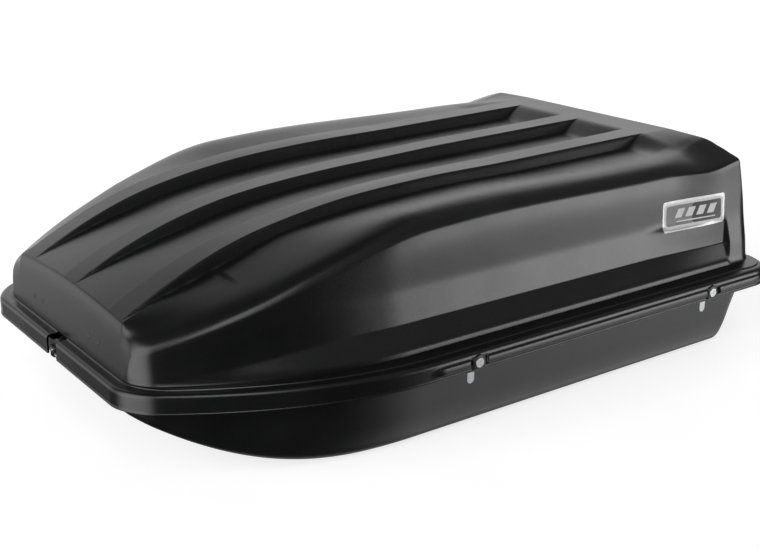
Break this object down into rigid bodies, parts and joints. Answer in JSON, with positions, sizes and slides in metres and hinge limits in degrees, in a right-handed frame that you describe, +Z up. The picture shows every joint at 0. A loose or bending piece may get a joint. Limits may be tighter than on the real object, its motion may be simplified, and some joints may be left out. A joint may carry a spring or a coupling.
{
  "type": "roof cargo box",
  "caption": "Hard-shell roof cargo box: black moulded base and ribbed lid, hinged at the nose, closed by cam locks along both sides.",
  "frame": {"origin": "centre of the flat underside of the base", "axes": "+Z up, +Y towards the rear of the car, +X towards the left side of the car"},
  "size_m": [0.9528, 1.354, 0.4166],
  "materials": {
    "shell_plastic": "satin black, fine moulded grain",
    "seal_rubber": "matt closed-cell foam rubber",
    "label_foil": "printed foil with a silver border",
    "bracket_steel": "black zinc",
    "rivet_black": "black",
    "lock_chrome": "polished",
    "zinc_steel": "bright zinc plate"
  },
  "bodies": {
    "base": {"base_shell": "shell_plastic", "weather_seal": "seal_rubber", "hinge_base_bracket": "bracket_steel", "hinge_pin": "zinc_steel", "hinge_pin_clips": "zinc_steel", "hinge_base_rivets": "zinc_steel", "clamp_plates": "bracket_steel"},
    "lid": {"lid_shell": "shell_plastic", "side_label": "label_foil", "hinge_lid_plate": "bracket_steel", "hinge_lid_rivets": "rivet_black", "lock_housings": "lock_chrome", "lock_nuts": "zinc_steel"},
    "lock_front_left": {"lock_plug_front_left": "lock_chrome", "lock_cam_front_left": "zinc_steel", "cam_screw_front_left": "zinc_steel"},
    "lock_front_right": {"lock_plug_front_right": "lock_chrome", "lock_cam_front_right": "zinc_steel", "cam_screw_front_right": "zinc_steel"},
    "lock_rear_left": {"lock_plug_rear_left": "lock_chrome", "lock_cam_rear_left": "zinc_steel", "cam_screw_rear_left": "zinc_steel"},
    "lock_rear_right": {"lock_plug_rear_right": "lock_chrome", "lock_cam_rear_right": "zinc_steel", "cam_screw_rear_right": "zinc_steel"}
  },
  "joints": [
    {"name": "lid_hinge", "type": "hinge", "parent": "base", "child": "lid", "pos_m": [0, -0.667, 0.14], "axis": [1, 0, 0], "range_deg": [0, 50]},
    {"name": "lock_turn_front_left", "type": "hinge", "parent": "lid", "child": "lock_front_left", "pos_m": [0.47, -0.117, 0.1545], "axis": [1, 0, 0], "range_deg": [0, 90]},
    {"name": "lock_turn_front_right", "type": "hinge", "parent": "lid", "child": "lock_front_right", "pos_m": [-0.47, -0.117, 0.1545], "axis": [1, 0, 0], "range_deg": [0, 90]},
    {"name": "lock_turn_rear_left", "type": "hinge", "parent": "lid", "child": "lock_rear_left", "pos_m": [0.47, 0.474, 0.1545], "axis": [1, 0, 0], "range_deg": [0, 90]},
    {"name": "lock_turn_rear_right", "type": "hinge", "parent": "lid", "child": "lock_rear_right", "pos_m": [-0.47, 0.474, 0.1545], "axis": [1, 0, 0], "range_deg": [0, 90]}
  ]
}
